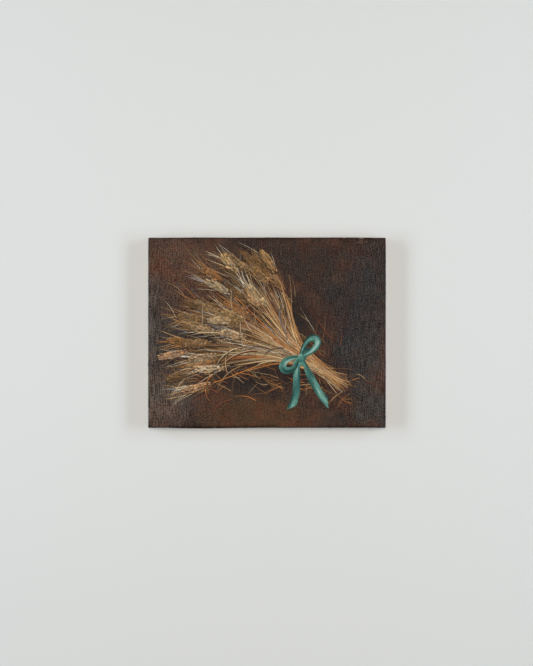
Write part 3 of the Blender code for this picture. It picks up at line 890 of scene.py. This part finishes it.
brushes = {
    # name: thickness (mm), cover at start and end, points across, steps along, width left at the tip,
    # length of the round start, and the width it starts from, as shares
    "stalkShade": (0.02, (0.95, 0.55), 3, 12, 0.5, 0.02, 0.3),
    "stalk": (0.06, (1.0, 0.72), 5, 14, 0.55, 0.02, 0.3),
    "stalkLight": (0.06, (1.0, 0.4), 3, 14, 0.4, 0.02, 0.3),
    "dark": (0.03, (0.95, 0.6), 3, 12, 0.3, 0.15, 0.2),
    "light": (0.09, (1.0, 0.4), 3, 12, 0.3, 0.15, 0.2),
    "grainShade": (0.03, (0.95, 0.7), 5, 7, 0.1, 0.4, 0.1),
    "grain": (0.08, (1.0, 0.85), 5, 8, 0.05, 0.5, 0.08),
    "grainLight": (0.09, (0.8, 0.4), 3, 6, 0.1, 0.5, 0.1),
    "awn": (0.05, (0.9, 0.35), 3, 10, 0.3, 0.05, 0.3),
    "leafShade": (0.05, (0.9, 0.5), 5, 16, 0.08, 0.6, 0.05),
    "leaf": (0.05, (1.0, 0.7), 5, 16, 0.08, 0.6, 0.05),
    "leafLight": (0.05, (0.95, 0.5), 5, 16, 0.08, 0.6, 0.05),
    "leafGlint": (0.05, (0.8, 0.2), 3, 16, 0.08, 0.6, 0.05),
    "strawShade": (0.02, (0.7, 0.4), 3, 10, 0.4, 0.10, 0.3),
    "straw": (0.06, (0.9, 0.35), 3, 12, 0.3, 0.10, 0.3),
    "strawFaint": (0.06, (0.8, 0.25), 3, 12, 0.3, 0.10, 0.3),
    "strawFull": (0.06, (1.0, 0.6), 3, 12, 0.3, 0.10, 0.3),
    "ribbonBroad": (0.06, (1.0, 0.95), 5, 8, 0.5, 0.08, 0.3),
    "ribbonFine": (0.06, (0.9, 0.4), 5, 8, 0.5, 0.08, 0.3),
}


def picked(rng, names, count, spread=0.16):
    # A palette colour each, lighter or darker by about the spread, and a little warmer or cooler.
    chosen = np.array([paints[name] for name in names])[rng.choice(len(names), count)]
    warmth = rng.normal(0, spread / 2, (count, 1)) * [0.6, 0.1, -0.9]
    return chosen * np.exp(rng.normal(0, spread, (count, 1)) + warmth)


def strokes(path, width, start, end, layer, brush, strength=1.0):
    # A group of strokes: path (n, 4, 2) and width (n) in mm. Colour and cover run from start to end.
    # Half width = width / 2 * a quarter-round start * an eased taper, a little wavy. Height = layer +
    # thick * (1 - 0.4 s^2), where s runs from -1 to 1 across. The rim lies under the cloth's face.
    thick, cover, across, steps, tip, roundPart, blunt = brushes[brush]
    t, s = np.linspace(0, 1, steps + 1), np.array(relief["across"][across])
    centre = along(path, t)
    inside = (np.abs(centre).max(1) < relief["within"]).all(1)
    centre, start, end, width = centre[inside], start[inside], end[inside], width[inside]
    count = len(centre)
    length = np.linalg.norm(np.diff(centre, axis=1), axis=2).sum(1)
    shape = blunt + (1 - blunt) * np.sqrt(1 - np.clip(1 - t / roundPart, 0, 1) ** 2)
    shape = shape * (1 - (1 - tip) * eased(0.5, 1.0, t))
    turn = np.arange(count)[:, None] * 2.4
    wavy = 1 + 0.08 * np.sin(9 * t + turn) + 0.06 * np.sin(22 * t + 1.7 * turn)
    half = width[:, None] / 2 * shape * wavy
    flat = (centre[:, :, None] + leftOf(centre)[:, :, None] * half[..., None, None] * s[:, None]) * mm
    swell = eased(0, 0.08, t) * (1 - 0.55 * eased(0.6, 1, t))
    rise = np.linspace(0, relief["order"], count)[:, None, None] + layer
    rise = rise + thick * swell[:, None] * (1 - 0.4 * s ** 2)
    rise[:, :, [0, -1]] = -relief["sunk"]
    rise[:, [0, -1]] = -relief["sunk"]
    x, z = flat[..., 0], flat[..., 1]
    points = np.stack([x, frontY + waviness(x, z) - rise * mm, z], -1)
    run = t[:, None, None]
    colour = start[:, None, None] * (1 - run) + end[:, None, None] * run
    covered = strength * (cover[0] * (1 - t) + cover[1] * t)[:, None] * (1 - 0.80 * s ** 4)
    seed = np.arange(count)[:, None, None] * 0.0137 + 0.0071
    place = (half[..., None] * s * mm + seed, (length[:, None] * t)[..., None] * mm + seed * 3)
    return {
        "points": points, "cloth": flat, "stroke": np.stack(np.broadcast_arrays(*place), -1),
        "OFBake": bakeCells(count, t, (s + 1) / 2), "paint": np.broadcast_to(colour, points.shape),
        "cover": np.broadcast_to(covered, x.shape),
    }


def strokeFinish():
    # Oil colour with bristle lines along each stroke. Where it runs dry, the ground shows between them.
    n = Nodes("paintStrokes")
    place, brushed = n.uvPlace("cloth"), n.uvPlace("stroke")
    weave = threads(n, place)
    bristle, drag = n.noise(brushed, (3000, 60, 1), 2.0, 0.6), n.noise(brushed, (1100, 300, 1), 2.0, 0.6)
    tone = bristle * 1.7 + drag * 0.8 + weave * 0.22 - 0.36
    colour = n.shade(n.add("Attribute", attribute_name="paint"), n.math("MAXIMUM", tone, 0.3))
    cover = n.add("Attribute", output="Fac", attribute_name="cover")
    mask = n.ramp(cover * 1.7 + drag * 0.6 + bristle * 1.2 + weave * 0.35 - 1.2, 0.10, 0.45)
    return n.surface(Base_Color=n.mix(mask, groundPaint(n, place, weave), colour),
                     Roughness=n.ramp(drag, 0.3, 0.7, 0.38, 0.52), Specular_IOR_Level=0.28,
                     Normal=n.bump(bristle * 1.1 + weave * 0.45, 0.11 * mm, 0.8))


beads = {
    # how many, the edge's way out, and the stretch of the edge they lie on, mm
    "rows": (
        (26, (1, 0), (40, 92)),
        (14, (1, 0), (-90, 44)),
        (14, (0, 1), (-110, 110)),
        (16, (-1, 0), (-90, 90)),
        (22, (0, -1), (-112, 112)),
    ),
    "long": (1.0, 4.0),
    "halfWide": (0.40, 0.85),
    "high": (0.2, 0.7),
}


def paintBeads(rng):
    # Dried beads of paint on the front's arrises. t runs from 0 to 1 along one and s from -1 to 1 across.
    # Height = high * sqrt(1 - (2t - 1)^2) * (1 - s^2), less the arris's fall, aside^2 / (1.5 * radius).
    ways, places = [], []
    for count, way, stretch in beads["rows"]:
        ways += [way] * count
        places += rng.uniform(*stretch, count).tolist()
    count = len(ways)
    out, place = np.array(ways, float)[:, None, None], np.array(places)[:, None, None]
    run = np.stack([-out[..., 1], out[..., 0]], -1)
    t, s = np.linspace(0, 1, 9), np.linspace(-1, 1, 7)
    length, wide, high = (rng.uniform(*beads[key], count)[:, None, None]
                          for key in ("long", "halfWide", "high"))
    taper = 1 - (2 * t[:, None] - 1) ** 2
    at = place + (t[:, None] - 0.5) * length + 0 * s
    aside = s * wide * np.sqrt(0.3 + 0.7 * taper)
    radius = cloth["edgeRadius"] / mm
    rise = high * np.sqrt(taper) * (1 - s ** 2) - aside ** 2 / (1.5 * radius) - relief["sunk"]
    corner = radius * (1 - math.sqrt(0.5))  # how far the arris is cut back at its middle
    half = (np.abs(out) @ np.array([halfWide, halfHigh])) / mm
    base = (out * (half - radius)[..., None] + run * at[..., None]) * mm
    slack = sideSlack(base[..., 0], base[..., 1], out[..., 0], out[..., 1]) / mm
    reach = half - corner + slack * math.sin(math.pi * corner * mm / depth) ** 0.6
    reach = reach + (rise - aside) / math.sqrt(2)
    flat = (out * reach[..., None] + run * at[..., None]) * mm
    y = frontY + (corner - (rise + aside) / math.sqrt(2)) * mm
    tint = 0.8 * picked(rng, ["black", "black", "umber"], count, 0.2)[:, None, None]
    return {
        "points": np.stack([flat[..., 0], y, flat[..., 1]], -1), "cloth": flat,
        "stroke": np.stack([aside, at], -1) * mm, "OFBake": bakeCells(count, t, (s + 1) / 2),
        "paint": np.broadcast_to(tint, (*at.shape, 3)), "cover": np.ones(at.shape),
    }


sheaf = {
    "tie": (36, -26),
    "axis": 148,  # the way the ears point, degrees round from the right
    "fan": 38,  # half of the fan's angle
    "waist": 10.5,  # half width at the tie, mm
    "stemLong": (58, 116),
    "fillLong": (40, 104),
    "fillWide": (0.6, 1.35),
    "buttLong": (40, 60),
    "droop": 8,
    "top": 64,  # how high an ear may start
    "earLong": (24, 32),
    "levels": 9,  # of grains in an ear
    "grain": (6.4, 3.0),  # length and width
    "splay": 24,  # how far the grains at the sides point out, degrees
    "aside": 1.75,  # and how far they sit off the ear's middle
    "curl": 22,
    "awnLong": (16, 36),
    "awnWide": (0.3, 0.6),
    "awns": 17,  # for each ear
    "accentRun": (0.12, 0.4),  # share of a stem
    "darkWide": (0.5, 1.0),
    "lightWide": (0.4, 0.85),
    "layers": (
        # stems and ears; body, dark and light paints; brightness, height (mm), cover of the lights
        (80, 15, ["brown", "umber", "rust", "brown"], ["black"], ["ochre", "brown"], 0.75, 0.04, 0.55),
        (80, 15, ["ochre", "brown", "rust", "brown"], ["umber", "black"], ["straw", "ochre", "orange"],
         0.96, 0.10, 0.75),
        (64, 14, ["ochre", "straw", "orange", "brown", "straw"], ["umber", "black"],
         ["cream", "straw", "white"], 1.02, 0.16, 1.0),
    ),
}
leaf = {
    "count": 8,  # in each layer
    "long": (26, 54),
    "wide": (1.3, 2.6),
    "turn": (12, 44),  # away from the sheaf's axis, degrees
    "bend": (10, 80),
    "strokes": (
        # place across and width as shares, paints, brush
        (-0.34, 0.75, ["umber", "black", "umber"], "leafShade"),
        (0.0, 0.75, ["brown", "ochre", "rust", "brown", "slate"], "leaf"),
        (0.30, 0.40, ["straw", "ochre", "straw", "cream", "greyBlue"], "leafLight"),
        (0.12, 0.18, ["cream", "straw"], "leafGlint"),
    ),
}
straw = ["ochre", "straw", "brown", "rust", "orange"]
loose = (
    # how many, spot, its spread, direction and its spread, length, spread of the bend, paints, width,
    # height, brush
    (60, (66, -56), (22, 9), (162, 28), (10, 32), 34, straw, (0.5, 1.1), 0.02, "straw"),
    (60, (-10, -56), (42, 8), (172, 22), (12, 38), 40, straw, (0.45, 1.0), 0.02, "straw"),
    (26, (-78, -52), (18, 10), (190, 32), (12, 34), 60, straw, (0.4, 0.9), 0.02, "straw"),
    (50, (30, -14), (26, 12), (148, 20), (14, 46), 24, straw + ["cream"], (0.4, 0.8), 0.26, "straw"),
    (50, (-34, 10), (30, 24), (150, 26), (12, 34), 28, ["straw", "cream", "greyBlue"], (0.3, 0.6), 0.26,
     "strawFaint"),
    (9, (-40, -34), (26, 8), (205, 18), (44, 72), 66, ["ochre", "orange", "straw"], (0.8, 1.2), 0.03,
     "strawFull"),
    (6, (66, -18), (10, 6), (60, 24), (16, 30), 50, ["brown", "rust", "ochre"], (0.4, 0.8), 0.02,
     "straw"),
)


def sheafLines(rng, count, lengths):
    # Stems of one layer: a place across the waist, an angle in step with it, then a slight droop.
    s = sheaf
    place = np.linspace(-1, 1, count) + rng.normal(0, 0.10, count)
    place = np.clip(place, -1.1, 1.1)[rng.permutation(count)]
    across = place * s["waist"] + rng.normal(0, 1.2, count)
    tie = np.array(s["tie"]) + heading(s["axis"] + 90) * across[:, None]
    tie = tie + heading(s["axis"]) * rng.normal(0, 2, count)[:, None]
    angle = s["axis"] + s["fan"] * place * 0.9 + rng.normal(0, 4.5, count)
    room = (s["top"] - tie[:, 1]) / np.maximum(np.sin(np.radians(angle)), 0.05)
    lengths = np.minimum(lengths, room)
    end = tie + heading(angle) * lengths[:, None]
    droop = s["droop"] * rng.uniform(-0.2, 1.8, count)
    leaving = s["axis"] + 0.2 * (angle - s["axis"])
    first = tie + heading(leaving) * (lengths * rng.uniform(0.26, 0.42, count))[:, None]
    last = end - heading(angle + droop) * (lengths * rng.uniform(0.26, 0.42, count))[:, None]
    out = s["axis"] + 180 + rng.normal(0, 4, count) + 16 * place
    butts = bent(tie, out, rng.uniform(*s["buttLong"], count), rng.normal(0, 7, count))
    return np.stack([tie, first, last, end], 1), butts, angle + droop * 1.3


def stalks(rng, line, wide, body, dark, lit, height, sheen, fade=0.85):
    # A stalk is a dark stroke under it, its body and a thin light along its upper side.
    shift = (np.array([0.1, 0.26]) * wide[:, None])[:, None]
    litWide = wide * rng.uniform(0.25, 0.45, len(line))
    return [
        strokes(line - shift * 1.4, wide * 1.5, dark, dark, height, "stalkShade"),
        strokes(line, wide, body, body * fade, height + 0.02, "stalk"),
        strokes(line + shift, litWide, lit, lit * fade, height + 0.05, "stalkLight", sheen),
    ]


def accents(rng, count, height, sheen):
    # Short thick lights and thin darks, laid along the stems where they please.
    upper, _, _ = sheafLines(rng, count, rng.uniform(50, 108, count))
    t0 = rng.uniform(0.02, 0.8, count)
    t1 = t0 + rng.uniform(*sheaf["accentRun"], count)
    path = through(along(upper, t0[:, None] + (t1 - t0)[:, None] * np.linspace(0, 1, 4)))
    half = count // 2
    darks = picked(rng, ["black", "black", "umber"], half)
    lights = picked(rng, ["cream", "white", "straw"], count - half)
    darkWide = rng.uniform(*sheaf["darkWide"], half)
    lightWide = rng.uniform(*sheaf["lightWide"], count - half)
    return [
        strokes(path[:half], darkWide, darks, darks, height, "dark"),
        strokes(path[half:], lightWide, lights, lights * 0.7, height + 0.03, "light", sheen),
    ]


def earKernels(rng, base, angle, size, body, dark, light, height, sheen):
    # An ear is a row of grains up a slightly bent line, each grain a dark, a body and a light stroke.
    # body, dark and light are a colour for each ear. Grains on an ear's upper side are painted lighter.
    count = len(base)
    lengths = rng.uniform(*sheaf["earLong"], count) * size
    bend = rng.normal(0, 8, count) + 5
    levels = np.linspace(0.02, 0.90, sheaf["levels"])
    at = along(bent(base, angle, lengths, bend), levels)
    slope = angle[:, None] + bend[:, None] * levels
    profile = (np.sin(math.pi * (0.16 + 0.70 * levels)) ** 0.7)[None] * size * np.ones((count, 1))
    ear = np.repeat(np.arange(count), len(levels))
    body, dark, light = body[ear], dark[ear], light[ear]
    groups, tips, tipAngles = [], [], []
    for side in (-1, 1, 0):
        turn = (slope + side * sheaf["splay"] + rng.normal(0, 6, slope.shape)).ravel()
        away = heading(slope + 90) * side
        root = (at + away * (sheaf["aside"] * profile)[..., None]).reshape(-1, 2)
        root = root + rng.normal(0, 0.3, root.shape)
        long, wide = (k * profile.ravel() * rng.uniform(0.85, 1.15, slope.size) for k in sheaf["grain"])
        lift = 1 + 0.24 * (away @ np.array([-0.3, 0.95])).ravel()[:, None]
        vary = rng.normal(0, 0.22, (slope.size, 1))
        vary = np.exp(vary + rng.normal(0, 0.10, vary.shape) * [0.6, 0.1, -0.9])
        curl = -side * sheaf["curl"] + rng.normal(0, 9, slope.size)
        grain = bent(root, turn, long, curl)
        under = bent(root + [-0.3, -0.5], turn, long * 1.1, curl)
        above = root + heading(turn) * (0.2 * long)[:, None] + [-0.15, 0.36]
        glint = bent(above, turn, long * 0.66, curl * 0.7)
        glow = (0.6 * light + 0.4 * body) * vary * lift
        tip = (0.6 * body + 0.4 * light) * vary * lift
        litWide = wide * rng.uniform(0.25, 0.6, len(ear))
        groups += [
            strokes(under, wide * 1.3, dark, dark, height, "grainShade"),
            strokes(grain, wide, body * vary * 0.55, tip, height + 0.03, "grain"),
            strokes(glint, litWide, glow, glow * 0.85, height + 0.06, "grainLight", sheen),
        ]
        tips.append(along(grain, np.array([0.85]))[:, 0])
        tipAngles.append(turn - side * 12)
    return groups, np.concatenate(tips), np.concatenate(tipAngles)


def leafBlades(rng, upper, height):
    # Long dry leaves that bend over and taper: strokes side by side, dark below and pale above.
    count = len(upper)
    root = along(upper, np.array([0.22, 0.5, 0.8]))[np.arange(count), rng.integers(0, 3, count)]
    side = rng.choice([-1, 1], count)
    angle = sheaf["axis"] + side * rng.uniform(*leaf["turn"], count)
    lengths, wide = rng.uniform(*leaf["long"], count), rng.uniform(*leaf["wide"], count)
    spine = bent(root, angle, lengths, side * rng.uniform(*leaf["bend"], count))
    groups = []
    for share, wideShare, names, brush in leaf["strokes"]:
        tint = picked(rng, names, count) * 0.92
        path = spine + (np.array([-0.25, 0.95]) * (share * wide)[:, None])[:, None]
        layer = height + 0.02 * len(groups)
        groups.append(strokes(path, wide * wideShare, tint, tint * 0.8, layer, brush))
    return groups


def looseLines(rng, count, spot, spread, directions, lengths, bendSpread, names, widths, height, brush):
    # Loose straws and fibres scattered round a spot, each with a dark touch under it.
    start = np.array(spot) + rng.normal(0, 1, (count, 2)) * spread
    turn = directions[0] + rng.normal(0, directions[1], count)
    path = bent(start, turn, rng.uniform(*lengths, count), rng.normal(0, bendSpread, count))
    tint, wide = picked(rng, names, count, 0.24), rng.uniform(*widths, count)
    dark = picked(rng, ["black", "umber"], count, 0.2)
    return [
        strokes(path - [0.1, 0.4], wide * 1.5, dark, dark, height, "strawShade"),
        strokes(path, wide, tint, tint * 0.85, height + 0.02, brush),
    ]


ribbon = {
    # loops: direction and length, opening angle, phase of the folds; tails: the points of their curves
    "loops": (((50, 22), 30, 0.2), ((214, 20), 34, 2.4)),
    "tails": (((36, -26), (27, -42), (38, -60), (24, -84)), ((37, -27), (46, -44), (50, -60), (68, -78))),
    "halfWide": 3.2,
    "strokesAcross": 6,
    "shades": {0: "tealDark", 0.45: "teal", 0.82: "tealLight", 1.0: "tealPale"},
}


def ribbonShade(rng, value, spread):
    # From dark through teal to pale, for a value from 0 to 1.
    places, names = zip(*ribbon["shades"].items())
    value = np.clip(value + rng.normal(0, spread, value.shape), 0, 1)
    return np.stack([np.interp(value, places, [paints[name][k] for name in names]) for k in range(3)], -1)


def ribbonBand(rng, path, halfWide, shade, height, pieces=7, slant=0.0, fine=60):
    # Broad strokes side by side, broken at uneven places, then fine ones strewn over them. Each follows
    # the centre line from t0 to t1, s half widths to its side, in the shade of the folds there.
    path, tracks = np.array([path], float), ribbon["strokesAcross"]

    def laid(s, t0, t1, widths, spread, lift, brush):
        t1 = np.minimum(t1, 1 - slant * (s + 1) / 2)
        keep = t1 - t0 > 0.02
        s, t0, t1 = s[keep], t0[keep], t1[keep]
        t = (t0[:, None] + (t1 - t0)[:, None] * np.arange(4) / 3).ravel()
        centre, ahead = along(path, t)[0], along(path, t + 1e-3)[0]
        slope = (ahead - centre) / np.linalg.norm(ahead - centre, axis=1, keepdims=True)
        aside = np.stack([-slope[:, 1], slope[:, 0]], -1) * (halfWide(t) * np.repeat(s, 4))[:, None]
        wide = widths(t0)
        start, end = (ribbonShade(rng, shade(s, t), spread) for t in (t0, t1))
        line = through((centre + aside).reshape(-1, 4, 2))
        return strokes(line, wide, start, end, height + lift, brush)

    s, k = (a.ravel() for a in np.meshgrid(np.linspace(-1, 1, tracks), np.arange(pieces)))
    t0 = np.clip((k + rng.uniform(-0.45, 0.45, len(k))) / pieces, 0, 1)
    t1 = t0 + rng.uniform(1.3, 1.9, len(k)) / pieces
    base = laid(s, t0, t1, lambda t: 2 * halfWide(t) / (tracks - 1) * 1.35, 0.025, 0.0, "ribbonBroad")
    s, t0 = rng.uniform(-0.98, 0.98, fine), rng.uniform(0, 0.9, fine)
    t1 = t0 + rng.uniform(0.10, 0.30, fine)
    return [base, laid(s, t0, t1, lambda t: rng.uniform(0.35, 1.0, len(t)), 0.16, 0.04, "ribbonFine")]


def paintRibbon(rng):
    # A band round the sheaf's waist, two tails, a bow of two loops and its knot. Each shade is a level
    # plus folds, as sines along and across, and it darkens at the edges and into the knot.
    tie, half, axis = np.array(sheaf["tie"], float), ribbon["halfWide"], sheaf["axis"]
    cross, back = heading(axis + 90) * (sheaf["waist"] + 2.2), heading(axis + 180) * 2.2
    band = [tie + cross, tie + cross * 0.4 + back, tie - cross * 0.4 + back, tie - cross]
    groups = ribbonBand(rng, band, lambda t: 3.6 + 0 * t,
                        lambda s, t: 0.60 - 1.5 * (t - 0.25) ** 2 + 0.12 * np.cos(5 * s + 1), 0.26)

    def tailShade(s, t):
        folds = 0.30 * np.sin(7.5 * t + 1.4 * s + index * 2) + 0.10 * np.cos(4 * s)
        return 0.50 + folds - 0.14 * s ** 4 - 0.3 * np.exp(-(t / 0.12) ** 2)

    def loopShade(s, t):
        folds = 0.28 * np.cos(2.4 * s + phase) + 0.16 * np.sin(11 * t + 2 * s)
        folds = folds + np.where(t > 0.5, 0.14, -0.20)
        return 0.50 + folds - 0.12 * s ** 4 - 0.25 * np.exp(-((0.5 - np.abs(t - 0.5)) / 0.10) ** 2)

    def bulged(t, power=1.0):
        return np.sin(math.pi * np.clip(t, 0, 1)) ** power

    for index, tail in enumerate(ribbon["tails"]):
        groups += ribbonBand(rng, tail, lambda t: half * (0.45 + 0.55 * eased(0, 0.45, t)), tailShade,
                             0.24 + 0.02 * index, 10, 0.10, 90)
    for (angle, long), opening, phase in ribbon["loops"]:
        first, last = (tie + heading(angle + turn) * 1.78 * long for turn in (opening, -opening))
        loop = [tie, first, last, tie]
        groups += ribbonBand(rng, loop, lambda t: half * (0.35 + 0.65 * bulged(t, 0.8)), loopShade,
                             0.30, 12, 0.0, 120)
    up, over = heading(axis + 60), heading(axis + 150) * 1.6
    knot = [tie + up * 4.2, tie + up * 1.5 + over, tie - up * 1.5 + over, tie - up * 4.2]
    return groups + ribbonBand(rng, knot, lambda t: 2.2 + 1.4 * bulged(t),
                               lambda s, t: 0.62 + 0.26 * s - 0.7 * (t - 0.5) ** 2, 0.36, 3, 0.0, 30)


def paintSheaf(rng):
    # Three layers from back to front: stems, leaves, accents, ears, awns. Then loose straws and a ribbon.
    stems, ears, awns = [], [], []
    for layer, (fill, count, body, dark, light, gain, height, sheen) in enumerate(sheaf["layers"]):
        def tints(number, spread=0.2):
            return (picked(rng, body, number, spread) * gain, picked(rng, dark, number, spread),
                    picked(rng, light, number, spread * 0.7) * gain)

        upper, butts, _ = sheafLines(rng, fill, rng.uniform(*sheaf["fillLong"], fill))
        wide, colours = rng.uniform(*sheaf["fillWide"], fill), tints(fill, 0.26)
        stems += stalks(rng, upper, wide, *colours, height, sheen)
        stems += stalks(rng, butts, wide, *colours, height, sheen, 1.0)
        lengths = np.linspace(*sheaf["stemLong"], count)[rng.permutation(count)]
        upper, _, turn = sheafLines(rng, count, lengths)
        stems += stalks(rng, upper, np.full(count, 1.2), *tints(count), height + 0.02, sheen, 1.0)
        stems += leafBlades(rng, upper[:leaf["count"]], height + 0.08)
        stems += accents(rng, fill, height + 0.10, sheen)
        colours = [0.65 * colour + 0.35 * paints[name] * gain for colour, name in
                   zip(tints(count, 0.16), ("ochre", "umber", "straw"))]
        size = 0.92 + 0.05 * layer
        made, tips, angles = earKernels(rng, upper[:, 3], turn, size, *colours, height + 0.02, sheen)
        ears += made
        keep = rng.permutation(len(tips))[:count * sheaf["awns"]]
        tips, angles, number = tips[keep], angles[keep] + rng.normal(0, 5, len(keep)), len(keep)
        path = bent(tips, angles, rng.uniform(*sheaf["awnLong"], number), rng.normal(4, 10, number))
        tint = picked(rng, light + body[:1], number, 0.22) * gain
        wide = rng.uniform(*sheaf["awnWide"], number)
        awns.append(strokes(path, wide, tint, tint * 0.8, height + 0.05, "awn"))
    for row in loose:
        awns += looseLines(rng, *row)
    # Each piece's groups, and the shape of its bake cells.
    return {
        "paintStems": (stems, 20.0),
        "paintEars": (ears, 3.0),
        "paintAwns": (awns, 16.0),
        "paintRibbon": (paintRibbon(rng), 5.0),
        "paintBeads": ([paintBeads(np.random.default_rng(5))], 2.0),
    }


oil = strokeFinish()
for name, (groups, cellAspect) in paintSheaf(np.random.default_rng(41)).items():
    gridPiece(name, groups, oil, cellAspect)
